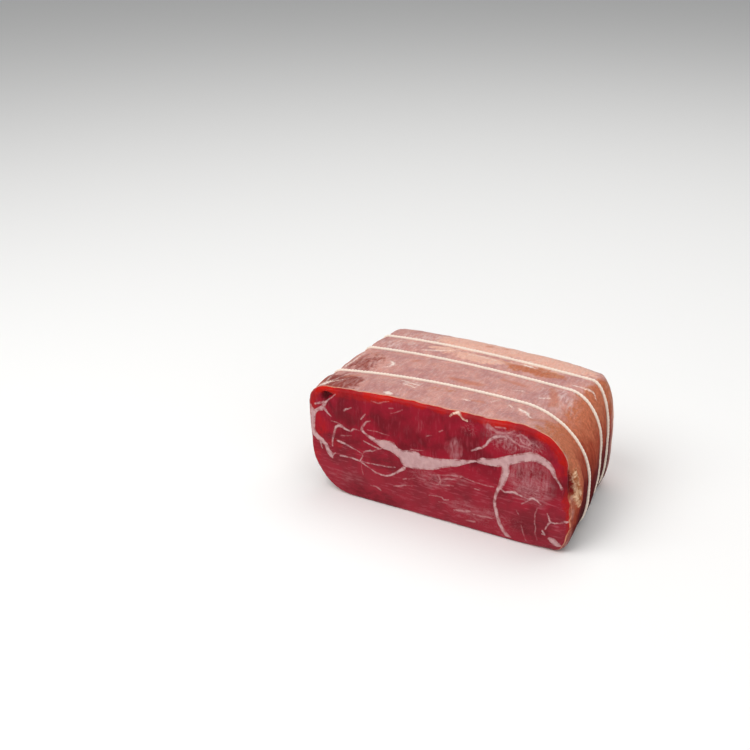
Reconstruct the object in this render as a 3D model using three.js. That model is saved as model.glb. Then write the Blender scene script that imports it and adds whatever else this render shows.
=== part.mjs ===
// A piece of boneless cured ham, pressed to a block, tied with three loops of white twine and cut across at
// the front. Millimetres. X runs across the cut face to the right, Y from the cut face to the back end, Z up.
// The block is a run of rows from the cut to the back. Every row is a closed outline of eight stretches,
// moved in or out along its own normals: in round the rims and where a loop of twine lies in its groove, out
// where the rolled edge beside the cut has a lump.
import * as THREE from "three";

// The block
const HAM_LENGTH = 136.5; // from the cut face to the back end, in the middle
const BACK_RADIUS = 22; // rounding between the sides and the back end
const BACK_RADIUS_RIGHT = 31; // on the right, where the end is rounder
const BACK_DOME = 2.5; // how far the back end stands out in its middle
const BACK_LEAN = 0.07; // the hind twine and the back end aren't parallel to the cut: this much of x

// The twine
const TWINE_RADIUS = 1.2;
const TWINE_GAP = 0.32; // free space between the twine and its groove
const TWINE_SIDES = 8;
const TWINE_Y = [36, 74.5, 99]; // the three loops, in the middle of the block
const TWINE_HEIGHT = 0.4; // the twine's centre above the surface, on the top and sides
const WAIST = 1.1; // how far each loop draws the block in
const WAIST_LENGTH = 7;
const BURIED_BELOW_Z = 1; // under here the twine is wholly in the meat, so the base lies flat
const FREE_ABOVE_Z = 13;

// The cross-section, x from the middle of the cut face, z from just above the base
const BASE_Z = -1.3;
const BASE_LEFT_X = -66; // the flat base begins here
const LEFT_X = -102.5;
const LEFT_DRAFT = 2; // the left side leans out by this much on its way up
const LOWER_LEFT_Z = 37; // the wide lower left corner ends here
const CROWN = { x: -30, z: 89 }; // the top bows up towards this point
const TOP_RIGHT_Z = 86.4; // the top ends here, and the right shoulder begins
const RIGHT_X = 99.5;
const ROUND = 0.5523; // how square a corner is: this much makes a quarter of an ellipse

// Three corners that change along the block, between the two places in turns. The first loop, the tightest,
// draws the upper two in, the right one to a long slope.
const LOWER_RIGHT = {
  cut: { x: 91, z: 15 }, // the base ends at x, and the right side begins at z
  drawn: { x: 86, z: 28 },
  behind: { x: 82, z: 34 },
  turns: [12, 45],
};
const SHOULDER = {
  cut: { x: 63, z: 54 }, // the right corner reaches this far in and down
  drawn: { x: 45, z: 38 },
  behind: { x: 76, z: 47 },
  turns: [50, 100],
};
const UPPER_LEFT = {
  cut: { x: -89, z: 82, sideZ: 67 }, // the top begins here, and the side ends at sideZ
  drawn: { x: -95, z: 79.2, sideZ: 72 },
  behind: { x: -94, z: 81.3, sideZ: 75 },
  turns: [4, 30],
};
const DRAWN_LENGTH = 24;

// The middle of the block, which rims and ends close towards
const CORE_HALF_WIDTH = 45;
const CORE_Z = 43;

// The sides and the top draw in towards the back end
const RIGHT_TAPER = 8.7;
const LEFT_TAPER = 3;
const TOP_TAPER = 2.7;

// Beside the cut the top sags in the middle and on the left, and swells on the right
const SAG = 1.5;
const SWELL = 1;
const SAG_LENGTH = 10;

// The rim of the cut, and how far its upper right stands out towards the front
const RIM_RADIUS = 2.5;
const RIM_RADIUS_TOP = 3.5;
const RIM_RADIUS_RIGHT = 7; // on the right, where the edge has rolled over
const LIP = 1.3;

// The fold in the rolled edge, and the lump of fat behind it
const FOLD = { z: 56, y: 4, halfHeight: 11, halfWidth: 2.2, depth: 3 };
const LUMP = { z: 42, y: 14, halfHeight: 19, halfWidth: 5, height: 3 };

// How many spans each stretch of the outline is cut into, anticlockwise from the base's left end
const SPANS = {
  base: 6,
  lowerRight: 7,
  right: 3,
  shoulder: 14,
  top: 12,
  upperLeft: 6,
  left: 3,
  lowerLeft: 13,
};
const COLUMNS = Object.values(SPANS).flatMap((spans, stretch) =>
  Array.from({ length: spans }, (_, step) => ({ stretch, t: step / spans })),
);

const HAM_COLOUR = "#a2463f";
const TWINE_COLOUR = "#efe4d8";

const { clamp, degToRad, lerp, smoothstep } = THREE.MathUtils;

// A swelling of 1 at the middle that fades to nothing about two widths away
const swell = (distance, width) => Math.exp(-((distance / width) ** 2));

// The cross-section at one place along the block, as its eight stretches
function crossSection(y) {
  const cornerSize = ({ cut, drawn, behind, turns }, name) => {
    const free = lerp(cut[name], behind[name], smoothstep(y, ...turns));
    return lerp(free, drawn[name], swell(y - TWINE_Y[0], DRAWN_LENGTH));
  };
  const lowerRightX = cornerSize(LOWER_RIGHT, "x");
  const lowerRightZ = cornerSize(LOWER_RIGHT, "z");
  const shoulderX = cornerSize(SHOULDER, "x");
  const shoulderZ = cornerSize(SHOULDER, "z");
  const upperLeftX = cornerSize(UPPER_LEFT, "x");
  const upperLeftZ = cornerSize(UPPER_LEFT, "z");
  const upperLeftSideZ = cornerSize(UPPER_LEFT, "sideZ");
  const rightX = RIGHT_X - RIGHT_TAPER * smoothstep(y, 30, 112);
  const leftX = LEFT_X + LEFT_TAPER * smoothstep(y, 30, 112);
  const path = new THREE.Path();
  const corner = (x, z, endX, endZ) => {
    const start = path.currentPoint;
    const [nearX, nearZ] = [lerp(start.x, x, ROUND), lerp(start.y, z, ROUND)];
    path.bezierCurveTo(nearX, nearZ, lerp(endX, x, ROUND), lerp(endZ, z, ROUND), endX, endZ);
  };
  path.moveTo(BASE_LEFT_X, BASE_Z);
  path.lineTo(lowerRightX, BASE_Z);
  corner(rightX, BASE_Z, rightX, lowerRightZ);
  path.lineTo(rightX, shoulderZ);
  corner(rightX - 0.5, TOP_RIGHT_Z + 0.6, shoulderX, TOP_RIGHT_Z);
  path.quadraticCurveTo(CROWN.x, CROWN.z, upperLeftX, upperLeftZ);
  corner(leftX, upperLeftZ - 1, leftX, upperLeftSideZ);
  path.lineTo(leftX + LEFT_DRAFT, LOWER_LEFT_Z);
  corner(leftX + LEFT_DRAFT, BASE_Z, BASE_LEFT_X, BASE_Z);
  return path.curves;
}

// How far the surface stands out from the plain cross-section, along the normal
function relief(at, y) {
  const waist = TWINE_Y.reduce((sum, twineY) => sum + WAIST * swell(y - twineY, WAIST_LENGTH), 0);
  const spot = (part) => swell(y - part.y, part.halfWidth) * swell(at.y - part.z, part.halfHeight);
  const folded = LUMP.height * spot(LUMP) - FOLD.depth * spot(FOLD);
  return smoothstep(at.x, 80, 96) * folded - waist * smoothstep(at.y, BASE_Z, FREE_ABOVE_Z);
}

// How far the top stands above its plain cross-section: it sags and swells beside the cut, and drops at the back
function topRise(at, y) {
  const sag = lerp(-SAG, SWELL, smoothstep(at.x, 30, 60)) * swell(y, SAG_LENGTH);
  return smoothstep(at.y, 60, 84) * (sag - TOP_TAPER * smoothstep(y, 96, HAM_LENGTH));
}

// A point of the surface: y is its place in the middle of the block, and rise how far it stands out along the
// normal. It closes towards the core by inset, and then by a share of what is left.
function surfacePoint({ stretch, t }, y, { rise = 0, inset = 0, share = 0 } = {}) {
  const curve = crossSection(y)[stretch];
  const at = curve.getPoint(t);
  const along = curve.getTangent(t);
  const normal = new THREE.Vector2(along.y, -along.x);
  const point = at.clone().addScaledVector(normal, relief(at, y) + rise);
  point.y += topRise(at, y);
  const core = new THREE.Vector2(clamp(point.x, -CORE_HALF_WIDTH, CORE_HALF_WIDTH), CORE_Z);
  point.add(core.clone().sub(point).setLength(inset)).lerp(core, share);
  const lean = BACK_LEAN * smoothstep(y, 36, 90);
  const surface = new THREE.Vector3(point.x, y - lean * point.x, Math.max(point.y, BASE_Z));
  return { surface, at, normal: new THREE.Vector3(normal.x, 0, normal.y) };
}

const row = (y) => COLUMNS.map((column) => surfacePoint(column, y).surface);

// The twine's centre above the surface: a little proud on the top and sides, and buried under the block
function twineHeight(column, y) {
  const { at } = surfacePoint(column, y);
  const buried = -(TWINE_RADIUS + TWINE_GAP);
  return lerp(buried, TWINE_HEIGHT, smoothstep(at.y, BURIED_BELOW_Z, FREE_ABOVE_Z));
}

// The rounded rim of the cut, from the flat face outwards
function rimRows() {
  const around = COLUMNS.map((column) => {
    const { at } = surfacePoint(column, 0);
    const rolled = smoothstep(at.x, 62, 94) * (1 - smoothstep(at.y, 58, 78));
    const upper = lerp(RIM_RADIUS, RIM_RADIUS_TOP, smoothstep(at.y, 60, 75));
    const lip = LIP * smoothstep(at.x, 30, 60) * smoothstep(at.y, 50, 62);
    return { column, radius: lerp(upper, RIM_RADIUS_RIGHT, rolled), lip };
  });
  const face = around.map(({ column, radius }) => {
    return surfacePoint(column, 0, { inset: radius, share: 0.2 }).surface;
  });
  const rim = [0, 22, 45, 68, 90].map((degrees) => {
    const turn = degToRad(degrees);
    return around.map(({ column, radius, lip }) => {
      const y = radius * (1 - Math.cos(turn)) - lip * Math.cos(turn);
      return surfacePoint(column, y, { inset: radius * (1 - Math.sin(turn)) }).surface;
    });
  });
  return [face, ...rim];
}

// The rows across one groove: round under the twine, with a step out to the surface on either side
function grooveRows(twineY) {
  const radius = TWINE_RADIUS + TWINE_GAP;
  return [-1.2, -1, -Math.SQRT1_2, 0, Math.SQRT1_2, 1, 1.2].map((across) => {
    const y = twineY + across * radius;
    const bed = Math.abs(across) > 1 ? Infinity : -radius * Math.sqrt(1 - across ** 2);
    return COLUMNS.map((column) => {
      const rise = Math.min(0, twineHeight(column, twineY) + bed);
      return surfacePoint(column, y, { rise }).surface;
    });
  });
}

// The rounding at the back, and a ring of the domed back end
function backRows() {
  const around = COLUMNS.map((column) => {
    const { at } = surfacePoint(column, HAM_LENGTH);
    return { column, radius: lerp(BACK_RADIUS, BACK_RADIUS_RIGHT, smoothstep(at.x, 45, 88)) };
  });
  const before = around.map(({ column, radius }) => {
    const y = (TWINE_Y[2] + TWINE_RADIUS * 2 + HAM_LENGTH - radius) / 2;
    return surfacePoint(column, y).surface;
  });
  const rounding = [0, 20, 40, 58, 75, 90].map((degrees) => {
    const turn = degToRad(degrees);
    return around.map(({ column, radius }) => {
      const y = HAM_LENGTH - radius * (1 - Math.sin(turn));
      return surfacePoint(column, y, { inset: radius * (1 - Math.cos(turn)) }).surface;
    });
  });
  const dome = around.map(({ column, radius }) => {
    return surfacePoint(column, HAM_LENGTH + BACK_DOME, { inset: radius, share: 0.6 }).surface;
  });
  return [before, ...rounding, dome];
}

// A closed mesh from rows of points: a band between each two rows, and a flat cap on the first and the last
function skinOver(rows) {
  const around = rows[0].length;
  const triangles = [];
  for (let i = 0; i < around * (rows.length - 1); i++) {
    const next = i % around === around - 1 ? i + 1 - around : i + 1;
    triangles.push(i, i + around, next + around, i, next + around, next);
  }
  const cap = (rowNumber) => {
    const outline = rows[rowNumber].map((point) => new THREE.Vector2(point.x, point.z));
    const faces = THREE.ShapeUtils.triangulateShape(outline, []);
    return faces.map((face) => face.map((i) => rowNumber * around + i));
  };
  cap(0).forEach(([a, b, c]) => triangles.push(a, b, c));
  cap(rows.length - 1).forEach(([a, b, c]) => triangles.push(a, c, b));
  return new THREE.BufferGeometry().setFromPoints(rows.flat()).setIndex(triangles);
}

function hamGeometry() {
  const [first, second, third] = TWINE_Y;
  const plainRows = (...places) => places.map((y) => row(y));
  return skinOver([
    ...rimRows(),
    ...plainRows(10.5, 15, 21, 28),
    ...grooveRows(first),
    ...plainRows(44, 55, 67),
    ...grooveRows(second),
    ...plainRows(86.5),
    ...grooveRows(third),
    ...backRows(),
  ]);
}

// One closed loop of twine: a ring of small polygons that follows the bottom of its groove
function twineGeometry(twineY) {
  const points = COLUMNS.flatMap((column) => {
    const { surface, normal } = surfacePoint(column, twineY, { rise: twineHeight(column, twineY) });
    return Array.from({ length: TWINE_SIDES }, (_, side) => {
      const turn = (side / TWINE_SIDES) * 2 * Math.PI;
      const point = surface.clone().addScaledVector(normal, TWINE_RADIUS * Math.cos(turn));
      point.y += TWINE_RADIUS * Math.sin(turn);
      return point;
    });
  });
  const corner = (i, side) => (i % COLUMNS.length) * TWINE_SIDES + (side % TWINE_SIDES);
  const triangles = COLUMNS.flatMap((_, i) =>
    Array.from({ length: TWINE_SIDES }, (__, side) => [
      [corner(i, side), corner(i, side + 1), corner(i + 1, side + 1)],
      [corner(i, side), corner(i + 1, side + 1), corner(i + 1, side)],
    ]),
  );
  return new THREE.BufferGeometry().setFromPoints(points).setIndex(triangles.flat(2));
}

function named(name, geometry, colour, roughness) {
  geometry.computeVertexNormals();
  const material = new THREE.MeshStandardMaterial({ color: colour, roughness, metalness: 0 });
  const mesh = new THREE.Mesh(geometry, material);
  mesh.name = name;
  return mesh;
}

const block = new THREE.Group();
block.add(named("ham", hamGeometry(), HAM_COLOUR, 0.4));
TWINE_Y.forEach((twineY, i) => {
  block.add(named(`twine_${i + 1}`, twineGeometry(twineY), TWINE_COLOUR, 0.9));
});

// The origin is under the middle of the block, on the table
const box = new THREE.Box3().setFromObject(block);
const middle = box.getCenter(new THREE.Vector3());
block.position.set(-middle.x, -middle.y, -box.min.z);

const curedHam = new THREE.Group();
curedHam.add(block);

export default curedHam;
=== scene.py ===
import math

import bpy
import numpy as np
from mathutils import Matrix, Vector, geometry, noise


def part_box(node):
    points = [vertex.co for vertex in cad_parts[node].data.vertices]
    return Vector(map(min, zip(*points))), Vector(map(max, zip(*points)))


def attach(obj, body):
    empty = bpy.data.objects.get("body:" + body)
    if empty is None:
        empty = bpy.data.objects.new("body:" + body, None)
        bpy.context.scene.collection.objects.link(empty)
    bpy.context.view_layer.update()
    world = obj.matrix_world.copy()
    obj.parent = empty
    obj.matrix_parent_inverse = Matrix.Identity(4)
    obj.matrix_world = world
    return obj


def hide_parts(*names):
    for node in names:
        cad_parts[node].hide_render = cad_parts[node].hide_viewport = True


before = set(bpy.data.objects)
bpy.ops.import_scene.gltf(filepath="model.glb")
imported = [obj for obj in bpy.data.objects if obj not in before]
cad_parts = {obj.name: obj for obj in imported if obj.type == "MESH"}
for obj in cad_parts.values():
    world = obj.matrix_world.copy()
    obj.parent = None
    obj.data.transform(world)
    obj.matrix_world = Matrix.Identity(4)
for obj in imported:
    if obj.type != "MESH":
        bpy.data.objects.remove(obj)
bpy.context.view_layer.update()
scene = bpy.context.scene

# The block: cured leg meat that was boned, tied and pressed in a mould. The mould gave it the flat base
# and top and the rounded corners, and the twine drew it in. x runs across the cut from its middle, y from
# the cut to the back end, and z up from just above the base.
MM = 0.001
HAM_LENGTH = 136.5
BACK_RADIUS = 22
BACK_RADIUS_RIGHT = 31
BACK_DOME = 2.5
BACK_LEAN = 0.07
LEAN_Y = (36, 90)
BASE_Z = -1.3
BASE_LEFT_X = -66
LEFT_X = -102.5
LEFT_DRAFT = 2
LOWER_LEFT_Z = 37
CROWN = (-30, 89)
TOP_RIGHT_Z = 86.4
RIGHT_X = 99.5

# How far a curve's handles reach to its corner: for a round corner, and for the long bow of the crown
ROUND_PULL = 0.5523
CROWN_PULL = 2 / 3

# Where three of the corners start and end at the cut, where the first loop draws them in, and behind it
LOWER_RIGHT = {"cut": (91, 15), "drawn": (86, 28), "behind": (82, 34), "turns": (12, 45)}
SHOULDER = {"cut": (63, 54), "drawn": (45, 38), "behind": (76, 47), "turns": (50, 100)}
UPPER_LEFT = {"cut": (-89, 82, 67), "drawn": (-95, 79.2, 72), "behind": (-94, 81.3, 75), "turns": (4, 30)}
SHOULDER_CORNER_SHIFT = (-0.5, 0.6)
UPPER_LEFT_CORNER_DROP = 1
DRAWN_LENGTH = 24

# The rims close towards a core, a level line in the middle of the block
CORE_HALF_WIDTH = 45
CORE_Z = 43

# Towards the back the sides draw in and the top comes down. At the cut the top sags on the left and swells
# on the right.
RIGHT_TAPER = 8.7
LEFT_TAPER = 3
SIDE_TAPER_Y = (30, 112)
TOP_TAPER = 2.7
TOP_TAPER_START = 96
TOP_Z = (60, 84)
SAG = 1.5
SWELL = 1
SAG_LENGTH = 10
RIGHT_PART_X = (30, 60)

# The rim of the cut, its edge that stands forward at the top right, and the fold on the right side with the
# lump of fat beside it
RIM_RADIUS = 2.5
RIM_RADIUS_TOP = 3.5
RIM_RADIUS_RIGHT = 7
LIP = 1.3
LIP_Z = (50, 62)
RIGHT_SIDE_X = (80, 96)
FOLD = {"z": 56, "y": 4, "half_height": 11, "half_width": 2.2, "depth": 3}
LUMP = {"z": 42, "y": 14, "half_height": 19, "half_width": 5, "height": 3}

# The three loops: how far their middle stands out from the skin, and how the twine draws the block in
TWINE_Y = (36, 74.5, 99)
TWINE_HEIGHT = 0.4
TWINE_BURIED = -1.52
BURIED_BELOW_Z = 1
FREE_ABOVE_Z = 13
WAIST = 1.1
WAIST_LENGTH = 7

ham_low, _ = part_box("ham")
BLOCK_TO_ROW = np.array([ham_low.x / MM - LEFT_X, ham_low.y / MM + LIP, -BASE_Z])


def mix(first, second, share):
    return first + (second - first) * share


def smoothstep(value, low, high):
    share = np.clip((value - low) / (high - low), 0, 1)
    return share * share * (3 - 2 * share)


def swell(distance, width):
    return np.exp(-((distance / width) ** 2))


def outline(column, y):
    """Place (x, z) and outward normal on the cross-section at y.

    A column's whole part is its stretch: 0 the base, 1 the lower right corner, 2 the right side, 3 the
    shoulder, 4 the top, 5 the upper left corner, 6 the left side and 7 the lower left corner.
    """
    tight = swell(y - TWINE_Y[0], DRAWN_LENGTH)

    def sizes(corner):
        behind = smoothstep(y, *corner["turns"])
        free = [mix(cut, back, behind) for cut, back in zip(corner["cut"], corner["behind"])]
        return [mix(size, drawn, tight) for size, drawn in zip(free, corner["drawn"])]

    lower_right_x, lower_right_z = sizes(LOWER_RIGHT)
    shoulder_x, shoulder_z = sizes(SHOULDER)
    upper_left_x, upper_left_z, upper_left_side_z = sizes(UPPER_LEFT)
    right_x = RIGHT_X - RIGHT_TAPER * smoothstep(y, *SIDE_TAPER_Y)
    left_x = LEFT_X + LEFT_TAPER * smoothstep(y, *SIDE_TAPER_Y)
    shoulder_shift_x, shoulder_shift_z = SHOULDER_CORNER_SHIFT

    def at(x, z):
        return np.stack([x + 0 * y, z + 0 * y], axis=-1)

    ends = [
        at(BASE_LEFT_X, BASE_Z),
        at(lower_right_x, BASE_Z),
        at(right_x, lower_right_z),
        at(right_x, shoulder_z),
        at(shoulder_x, TOP_RIGHT_Z),
        at(upper_left_x, upper_left_z),
        at(left_x, upper_left_side_z),
        at(left_x + LEFT_DRAFT, LOWER_LEFT_Z),
        at(BASE_LEFT_X, BASE_Z),
    ]
    corners = {
        1: (at(right_x, BASE_Z), ROUND_PULL),
        3: (at(right_x + shoulder_shift_x, TOP_RIGHT_Z + shoulder_shift_z), ROUND_PULL),
        4: (at(*CROWN), CROWN_PULL),
        5: (at(left_x, upper_left_z - UPPER_LEFT_CORNER_DROP), ROUND_PULL),
        7: (at(left_x + LEFT_DRAFT, BASE_Z), ROUND_PULL),
    }
    place, slope = np.zeros_like(ends[0]), np.zeros_like(ends[0])
    for stretch in range(8):
        start, end = ends[stretch], ends[stretch + 1]
        if stretch in corners:
            corner, pull = corners[stretch]
            near, far = mix(start, corner, pull), mix(end, corner, pull)
        else:
            near, far = mix(start, end, 1 / 3), mix(start, end, 2 / 3)
        t = (column - stretch)[..., None]
        here = np.floor(column)[..., None] == stretch
        curve = (1 - t) ** 3 * start + 3 * (1 - t) ** 2 * t * near + 3 * (1 - t) * t**2 * far + t**3 * end
        along = (1 - t) ** 2 * (near - start) + 2 * (1 - t) * t * (far - near) + t**2 * (end - far)
        place, slope = np.where(here, curve, place), np.where(here, along, slope)
    normal = np.stack([slope[..., 1], -slope[..., 0]], axis=-1)
    return place, normal / np.linalg.norm(normal, axis=-1, keepdims=True)


def spot(part, y, z):
    return swell(y - part["y"], part["half_width"]) * swell(z - part["z"], part["half_height"])


def surface(column, y, rise=0, inset=0):
    """Points of the block's surface, moved out by rise and towards the core by inset, and their normals."""
    place, normal = outline(column, y)
    x, z = place[..., 0], place[..., 1]
    waist = sum(WAIST * swell(y - twine_y, WAIST_LENGTH) for twine_y in TWINE_Y)
    folded = LUMP["height"] * spot(LUMP, y, z) - FOLD["depth"] * spot(FOLD, y, z)
    sag = mix(-SAG, SWELL, smoothstep(x, *RIGHT_PART_X)) * swell(y, SAG_LENGTH)
    top = smoothstep(z, *TOP_Z) * (sag - TOP_TAPER * smoothstep(y, TOP_TAPER_START, HAM_LENGTH))
    out = smoothstep(x, *RIGHT_SIDE_X) * folded - waist * smoothstep(z, BASE_Z, FREE_ABOVE_Z) + rise
    point = place + normal * out[..., None]
    point[..., 1] += top
    core = np.stack([np.clip(point[..., 0], -CORE_HALF_WIDTH, CORE_HALF_WIDTH), CORE_Z + 0 * x], axis=-1)
    inward = core - point
    inward = inward / np.linalg.norm(inward, axis=-1, keepdims=True)
    point = point + inward * np.asarray(inset)[..., None]
    lean = BACK_LEAN * smoothstep(y, *LEAN_Y)
    height = np.maximum(point[..., 1], BASE_Z)
    return np.stack([point[..., 0], y - lean * point[..., 0], height], axis=-1), normal


def lip_at(x, z):
    """How far the edge of the cut stands forward, at the top right."""
    return LIP * smoothstep(x, *RIGHT_PART_X) * smoothstep(z, *LIP_Z)


def twine_height(z):
    """How far a loop's middle stands out from the skin: it is pressed in where the block lies on it."""
    return mix(TWINE_BURIED, TWINE_HEIGHT, smoothstep(z, BURIED_BELOW_Z, FREE_ABOVE_Z))


# The ham's mesh: rows of points from the rim of the cut over the skin to the back end, then both ends
# filled with an even net of triangles, fine enough for the seams of fat, the grooves and the wrinkles to be
# real. SPANS says how many parts each of the outline's eight stretches has.
SPANS = (26, 20, 22, 58, 112, 22, 22, 44)
RIM_ROWS = 11
NEAR_CUT_ROWS = RIM_ROWS + 5
LEAD_ROWS = 6
TAIL_ROWS = 11
BACK_ROWS = 19
ROW_STEP = 1.35
CUT_STEP = 0.68
BACK_STEP = 1.8
LEAD_Y = 9
PLAIN_END_Y = 101.3
RIM_TOP_Z = (60, 75)
ROLLED_X = (62, 94)
ROLLED_Z = (58, 78)
BACK_RIGHT_X = (45, 88)
LIP_REACH = 9
DOME_REACH = 24

# The twine's groove, with the skin that it squeezes up beside it
GROOVE_STEP = 0.34
GROOVE_REACH = 2.9
GROOVE_RADIUS = 1.3
SQUEEZED = {"height": 0.3, "from_twine": 2.1, "half_width": 0.9}

# The row where the film ends, how far round the rim in degrees, and its waves (how many, degrees, start)
FILM_ROW = 8
FILM_TURN = 72
CRUST_TURN = 46
CRUST_Z = (46, 60)
FILM_WAVES = ((9, 3, 0.4), (17, 3, 2.2), (31, 3, 4.1), (53, 2, 1.3))
columns = np.concatenate([stretch + np.arange(spans) / spans for stretch, spans in enumerate(SPANS)])
around = len(columns)
front_place, _ = outline(columns, np.zeros(around))
front_x, front_z = front_place.T
rolled = smoothstep(front_x, *ROLLED_X) * (1 - smoothstep(front_z, *ROLLED_Z))
rim_radius = mix(RIM_RADIUS, RIM_RADIUS_TOP, smoothstep(front_z, *RIM_TOP_Z))
rim_radius = mix(rim_radius, RIM_RADIUS_RIGHT, rolled)
lip = lip_at(front_x, front_z)
back_place, _ = outline(columns, np.full(around, float(HAM_LENGTH)))
back_radius = mix(BACK_RADIUS, BACK_RADIUS_RIGHT, smoothstep(back_place[:, 0], *BACK_RIGHT_X))

# The film ends part of the way round the rim, sooner where the edge is rolled over, and never in a straight
# line
steps = np.linalg.norm(front_place - np.roll(front_place, 1, axis=0), axis=1)
round_the_cut = np.cumsum(steps) / steps.sum() * 2 * math.pi
crusty = rolled * (1 - smoothstep(front_z, *CRUST_Z))
film_turn = mix(FILM_TURN, CRUST_TURN, crusty)
for waves, degrees, start in FILM_WAVES:
    film_turn = film_turn + degrees * (1 + 0.5 * crusty) * np.sin(waves * round_the_cut + start)

rows = []
for number in range(RIM_ROWS + 1):
    before = min(number, FILM_ROW) / FILM_ROW
    behind = max(number - FILM_ROW, 0) / (RIM_ROWS - FILM_ROW)
    turn = np.radians(film_turn * before + (90 - film_turn) * behind)
    rows.append((rim_radius * (1 - np.cos(turn)) - lip * np.cos(turn), rim_radius * (1 - np.sin(turn))))
for share in np.linspace(0, 1, LEAD_ROWS + 1)[1:]:
    rows.append((mix(rim_radius, LEAD_Y, share), 0 * rim_radius))
y = LEAD_Y
while y < PLAIN_END_Y:
    near_twine = min(abs(y + ROW_STEP / 2 - twine_y) for twine_y in TWINE_Y) < GROOVE_REACH
    y += GROOVE_STEP if near_twine else ROW_STEP
    rows.append((np.full(around, y), np.zeros(around)))
for share in np.linspace(0, 1, TAIL_ROWS + 1)[1:]:
    rows.append((mix(y, HAM_LENGTH - back_radius, share), np.zeros(around)))
for turn in np.linspace(0, math.pi / 2, BACK_ROWS + 1)[1:]:
    rows.append((HAM_LENGTH - back_radius * (1 - math.sin(turn)), back_radius * (1 - math.cos(turn))))

row_y, row_inset = (np.array(values) for values in zip(*rows))
grid_column = np.broadcast_to(columns, row_y.shape)
plain_place, _ = outline(grid_column, row_y)
rise = np.zeros_like(row_y)
for twine_y in TWINE_Y:
    across = np.abs(row_y - twine_y)
    bed = np.sqrt(np.maximum(GROOVE_RADIUS**2 - across**2, 0))
    groove = np.minimum(twine_height(plain_place[..., 1]) - bed, 0)
    rise += np.where(across < GROOVE_RADIUS, groove, 0)
    squeezed = SQUEEZED["height"] * swell(across - SQUEEZED["from_twine"], SQUEEZED["half_width"])
    rise += squeezed * smoothstep(plain_place[..., 1], BURIED_BELOW_Z, FREE_ABOVE_Z)
skin_points, _ = surface(grid_column, row_y, rise=rise, inset=row_inset)


def fill(ring, step):
    """Fills a ring of (x, z) with an even triangular net. Returns the inner points and the triangles."""
    low, high = ring.min(axis=0), ring.max(axis=0)
    net = []
    for i, z in enumerate(np.arange(low[1], high[1], step * math.sqrt(3) / 2)):
        xs = np.arange(low[0], high[0], step) + (i % 2) * step / 2
        net.append(np.stack([xs, np.full(len(xs), z)], axis=-1))
    net = np.concatenate(net)
    ends = np.roll(ring, -1, axis=0)
    inside = np.zeros(len(net), bool)
    for (x0, z0), (x1, z1) in zip(ring, ends):
        crosses = (z0 > net[:, 1]) != (z1 > net[:, 1])
        if crosses.any():
            inside ^= crosses & (net[:, 0] < x0 + (net[:, 1] - z0) / (z1 - z0 + 1e-12) * (x1 - x0))
    net = net[inside]
    net = net[nearest(ring, net)[0] > step * 0.6]
    points = [Vector(p) for p in np.concatenate([ring, net])]
    edges = [(i, (i + 1) % len(ring)) for i in range(len(ring))]
    _, _, triangles, _, _, _ = geometry.delaunay_2d_cdt(points, edges, [], 1, 1e-6)
    return net, np.array(triangles)


def nearest(ring, points):
    """The distance from each point to the ring's closest corner, and which corner that is."""
    distance, which = np.full(len(points), np.inf), np.zeros(len(points), int)
    for number, corner in enumerate(ring):
        here = ((points - corner) ** 2).sum(axis=1)
        which = np.where(here < distance, number, which)
        distance = np.minimum(distance, here)
    return np.sqrt(distance), which


row_count = len(rows)
cut_ring, back_ring = skin_points[0][:, [0, 2]], skin_points[-1][:, [0, 2]]
cut_inner, cut_triangles = fill(cut_ring, CUT_STEP)
back_inner, back_triangles = fill(back_ring, BACK_STEP)
cut_depth, cut_corner = nearest(cut_ring, cut_inner)
cut_y = -lip_at(*cut_inner.T) * (1 - smoothstep(cut_depth, 0, LIP_REACH))
back_depth, _ = nearest(back_ring, back_inner)
dome = BACK_DOME * (1 - (1 - np.clip(back_depth / DOME_REACH, 0, 1)) ** 2)
back_y = HAM_LENGTH + dome - BACK_LEAN * back_inner[:, 0]
points = np.concatenate([
    skin_points.reshape(-1, 3),
    np.stack([cut_inner[:, 0], cut_y, cut_inner[:, 1]], axis=-1),
    np.stack([back_inner[:, 0], back_y, back_inner[:, 1]], axis=-1),
])
corner = np.arange(around * (row_count - 1))
following = np.where(corner % around == around - 1, corner + 1 - around, corner + 1)
band = np.stack([corner, corner + around, following + around, following], axis=-1)
first_cut, last_row = around * row_count, around * (row_count - 1)
first_back = first_cut + len(cut_inner)
cut_triangles = np.where(cut_triangles < around, cut_triangles, cut_triangles - around + first_cut)
back_triangles += np.where(back_triangles < around, last_row, first_back - around)


def facing(triangles, towards_y):
    """The triangles, wound so that they face along y (1) or against it (-1)."""
    a, b, c = (points[triangles[:, i]] for i in range(3))
    turn = np.cross(b - a, c - a)[:, 1] * towards_y
    return np.where(turn[:, None] > 0, triangles, triangles[:, ::-1])


faces = band.tolist() + facing(cut_triangles, -1).tolist() + facing(back_triangles, 1).tolist()
ham_mesh = bpy.data.meshes.new("ham_block")
ham_mesh.from_pydata(points.tolist(), [], faces)
ham_mesh.update()
normals = np.zeros(len(points) * 3, np.float32)
ham_mesh.vertices.foreach_get("normal", normals)
normals = normals.reshape(-1, 3)
x, y, z = points.T
number = np.arange(len(points))
on_cut = (number < around) | ((number >= first_cut) & (number < first_back))
near_cut = on_cut | (number < around * NEAR_CUT_ROWS)

# How far past the film's edge a point lies, along the surface: below 0 on the cut, above 0 on the skin
along = np.linalg.norm(np.diff(skin_points, axis=0, prepend=skin_points[:1]), axis=2).cumsum(axis=0)
past_edge = np.zeros(len(points))
past_edge[:first_cut] = (along - along[FILM_ROW]).ravel()
past_edge[first_cut:first_back] = -cut_depth - along[FILM_ROW][cut_corner]
past_edge[first_back:] = along[-1].mean()
on_skin = number >= around * FILM_ROW
on_skin[first_cut:first_back] = False

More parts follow.
